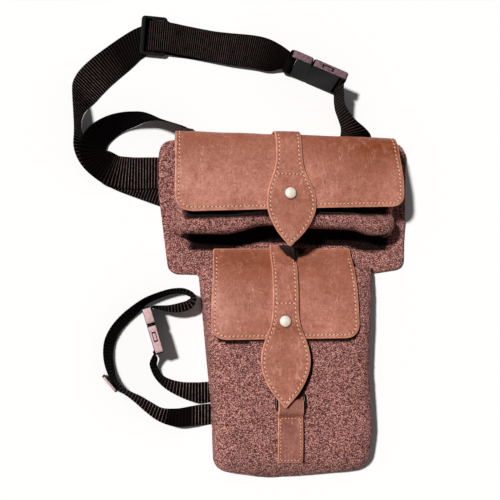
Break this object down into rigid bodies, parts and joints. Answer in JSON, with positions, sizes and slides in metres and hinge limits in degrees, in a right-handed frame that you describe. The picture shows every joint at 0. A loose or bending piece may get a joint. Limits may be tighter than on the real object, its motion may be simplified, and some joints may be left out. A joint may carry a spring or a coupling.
{
  "type": "thigh bag",
  "caption": "Worn thigh bag: a felt panel with two snap-flap pockets, a webbing waist belt above and a webbing leg strap at its side.",
  "frame": {"origin": "on the back panel's flat back, in the bag's width at the leg side of its narrow lower half", "axes": "+Y up the bag towards the belt, +X to the wearer's view right of the front, +Z out of the front"},
  "size_m": [0.3374, 0.4574, 0.0504],
  "materials": {
    "felt": "matte heathered felt",
    "leather": "satin oiled leather",
    "webbing": "ribbed webbing",
    "plastic": "moulded satin",
    "snap_metal": "plated",
    "ring_metal": "blackened"
  },
  "bodies": {
    "root": {"back_panel": "felt", "upper_pocket": "felt", "lower_pocket": "felt", "upper_flap": "leather", "lower_flap": "leather", "upper_tongue": "leather", "lower_tongue": "leather", "ring_keeper": "leather", "belt_long": "webbing", "belt_end": "webbing", "belt_bend": "webbing", "belt_right": "webbing", "leg_strap_long": "webbing", "leg_strap_short": "webbing", "belt_slide": "plastic", "belt_buckle_case": "plastic", "belt_buckle_plug": "plastic", "leg_buckle_case": "plastic", "leg_buckle_plug": "plastic", "leg_slide": "plastic", "upper_snap": "snap_metal", "lower_snap": "snap_metal", "keeper_ring": "ring_metal"}
  },
  "joints": []
}
